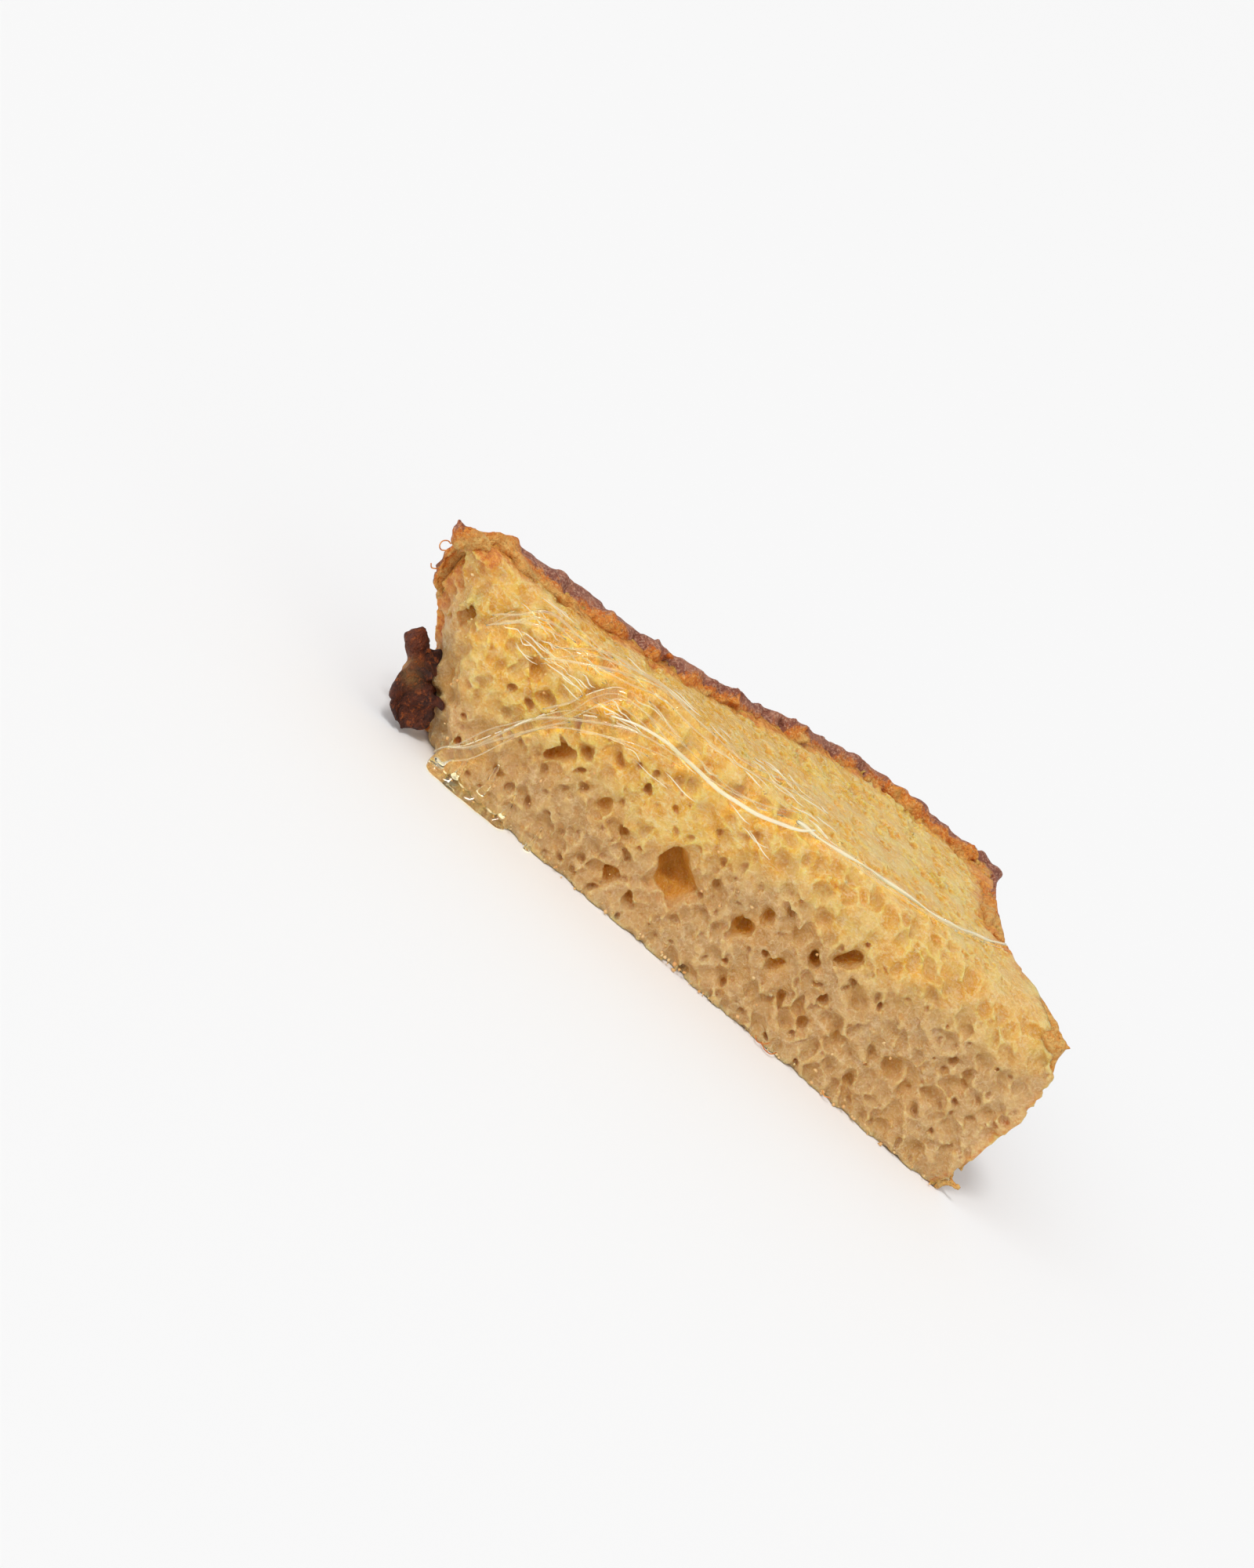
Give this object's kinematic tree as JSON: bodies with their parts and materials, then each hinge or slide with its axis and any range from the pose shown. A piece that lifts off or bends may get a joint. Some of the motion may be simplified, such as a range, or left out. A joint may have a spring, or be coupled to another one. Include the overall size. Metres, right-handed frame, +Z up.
{
  "type": "honey toast",
  "caption": "Thick slab of toasted white bread cut on the diagonal, with browned crust on its outer sides, open crumb on the cut face and honey run over its upper edge.",
  "frame": {"origin": "centre of the box round the toast, on the surface it lies on", "axes": "+X along the cut face towards its thick end, -Y out of the cut face, +Z up through the slab"},
  "size_m": [0.1106, 0.0438, 0.0305],
  "materials": {
    "crumb": "open baked crumb, soaked and glossy where the honey lies",
    "crust": "browned wrinkled crust, satin",
    "honey": "clear pale gold, wet gloss"
  },
  "bodies": {
    "root": {"toast": "crumb"}
  },
  "joints": []
}
